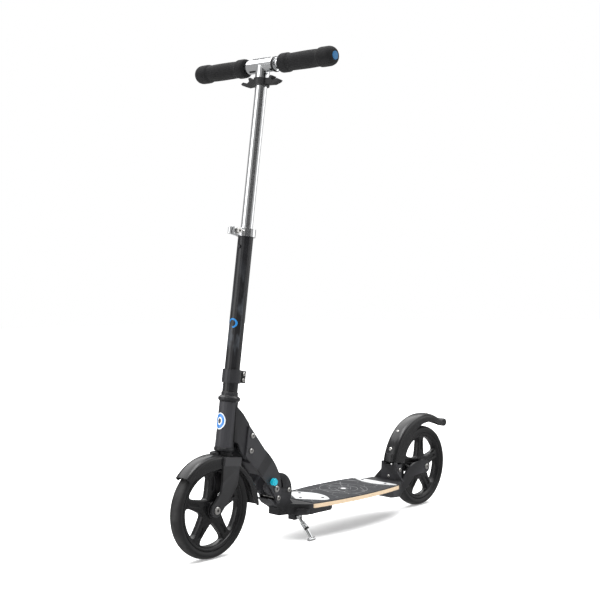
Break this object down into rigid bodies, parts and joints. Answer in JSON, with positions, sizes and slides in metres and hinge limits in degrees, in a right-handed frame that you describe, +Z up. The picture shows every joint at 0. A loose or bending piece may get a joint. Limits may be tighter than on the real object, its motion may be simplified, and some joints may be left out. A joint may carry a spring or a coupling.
{
  "type": "kick scooter",
  "caption": "Folding kick scooter with two big wheels, wooden deck, telescopic T-bar, pull-out grips, rear fender brake and kickstand.",
  "frame": {"origin": "middle of the whole object's box, on the floor", "axes": "+X the way it rides, +Y the rider's left, +Z up; the scooter leans 3 degrees towards +Y on its kickstand"},
  "size_m": [0.946, 0.388, 1.0373],
  "materials": {
    "wood": "clear satin ply edge",
    "grip_tape": null,
    "bright_plate": "polished",
    "black_alloy": "black satin coat",
    "black_anodised": "black anodised",
    "steel": "plain steel",
    "chrome": "polished",
    "tyre": "smooth cast polyurethane",
    "rim_plastic": "satin black moulded",
    "black_plastic": "moulded",
    "foam": "closed-cell foam",
    "blue_plastic": "moulded",
    "turquoise_plastic": "moulded"
  },
  "bodies": {
    "deck": {"deck_board": "wood", "grip_sheet": "grip_tape", "front_plate": "bright_plate", "rear_plate": "bright_plate", "nose_casting": "black_alloy", "cheek_bolt": "steel", "pivot_bolt": "steel", "rear_bracket": "black_alloy", "fender_mount": "black_alloy", "fender_hinge_pin": "steel", "rear_axle": "steel", "kickstand_boss": "black_anodised", "brake_spring": "steel"},
    "neck": {"head_tube": "black_alloy", "side_plate_left": "black_alloy", "side_plate_right": "black_alloy", "plate_bolt_upper": "steel", "plate_bolt_lower": "steel", "stop_bolt": "steel", "neck_spacer": "black_alloy", "lower_headset": "black_anodised", "upper_headset": "black_anodised", "badge": "blue_plastic"},
    "steering": {"fork": "black_alloy", "steerer": "steel", "front_axle": "steel", "front_fender": "black_plastic", "front_fender_skirt": "black_plastic", "headset_nut": "black_anodised", "lower_tube": "black_anodised", "lower_clamp": "black_anodised", "clamp_screw_lower": "steel", "clamp_screw_upper": "steel", "guide_bush": "black_plastic", "release_collar": "chrome", "release_skewer": "steel"},
    "front_wheel": {"front_tyre": "tyre", "front_rim": "rim_plastic", "front_bearing_left": "steel", "front_bearing_right": "steel"},
    "rear_wheel": {"rear_tyre": "tyre", "rear_rim": "rim_plastic", "rear_bearing_left": "steel", "rear_bearing_right": "steel"},
    "t_bar": {"upper_tube": "chrome", "t_piece": "chrome", "grip_clip": "black_plastic"},
    "left_handle": {"left_bar": "chrome", "left_grip": "foam", "left_end_cap": "blue_plastic"},
    "right_handle": {"right_bar": "chrome", "right_grip": "foam", "right_end_cap": "blue_plastic"},
    "release_lever": {"release_lever": "chrome"},
    "height_button": {"height_button": "steel"},
    "lock_knob": {"lock_knob": "turquoise_plastic"},
    "kickstand": {"kickstand": "steel"},
    "brake": {"brake_fender": "black_plastic", "brake_pad": "tyre", "brake_rivet": "steel"}
  },
  "joints": [
    {"name": "stem_fold", "type": "hinge", "parent": "deck", "child": "neck", "pos_m": [0.20003, -0.04652, 0.12033], "axis": [0, -0.9986, 0.0523], "range_deg": [0, 82]},
    {"name": "steering_turn", "type": "hinge", "parent": "neck", "child": "steering", "pos_m": [0.3311, -0.03927, 0.25857], "axis": [-0.1158, 0.052, 0.9919], "range_deg": [-90, 90]},
    {"name": "front_wheel_spin", "type": "hinge", "parent": "steering", "child": "front_wheel", "pos_m": [0.37303, -0.04759, 0.09986], "axis": [0, 0.9986, -0.0523], "continuous": true},
    {"name": "rear_wheel_spin", "type": "hinge", "parent": "deck", "child": "rear_wheel", "pos_m": [-0.36197, -0.04759, 0.09986], "axis": [0, 0.9986, -0.0523], "continuous": true},
    {"name": "t_bar_slide", "type": "slide", "parent": "steering", "child": "t_bar", "axis": [-0.1158, 0.052, 0.9919], "range_m": [-0.168, 0]},
    {"name": "left_handle_slide", "type": "slide", "parent": "t_bar", "child": "left_handle", "axis": [0, 0.9986, -0.0523], "range_m": [0, 0.028]},
    {"name": "right_handle_slide", "type": "slide", "parent": "t_bar", "child": "right_handle", "axis": [0, -0.9986, 0.0523], "range_m": [0, 0.028]},
    {"name": "release_lever_swing", "type": "hinge", "parent": "steering", "child": "release_lever", "pos_m": [0.31621, -0.03151, 0.66271], "axis": [-0.1158, 0.052, 0.9919], "range_deg": [0, 110]},
    {"name": "height_button_press", "type": "slide", "parent": "steering", "child": "height_button", "axis": [-0.9933, -0.0061, -0.1156], "range_m": [0, 0.0015], "stiffness_N_per_m": 400},
    {"name": "lock_knob_pull", "type": "slide", "parent": "neck", "child": "lock_knob", "axis": [0, 0.9986, -0.0523], "range_m": [0, 0.005], "stiffness_N_per_m": 500},
    {"name": "kickstand_swing", "type": "hinge", "parent": "deck", "child": "kickstand", "pos_m": [0.13003, -0.0212, 0.04941], "axis": [0, 0.9986, -0.0523], "range_deg": [0, 80]},
    {"name": "brake_press", "type": "hinge", "parent": "deck", "child": "brake", "pos_m": [-0.24847, -0.04735, 0.10446], "axis": [0, -0.9986, 0.0523], "range_deg": [0, 9.5], "stiffness_Nm_per_rad": 2, "springref_deg": -28.65}
  ]
}
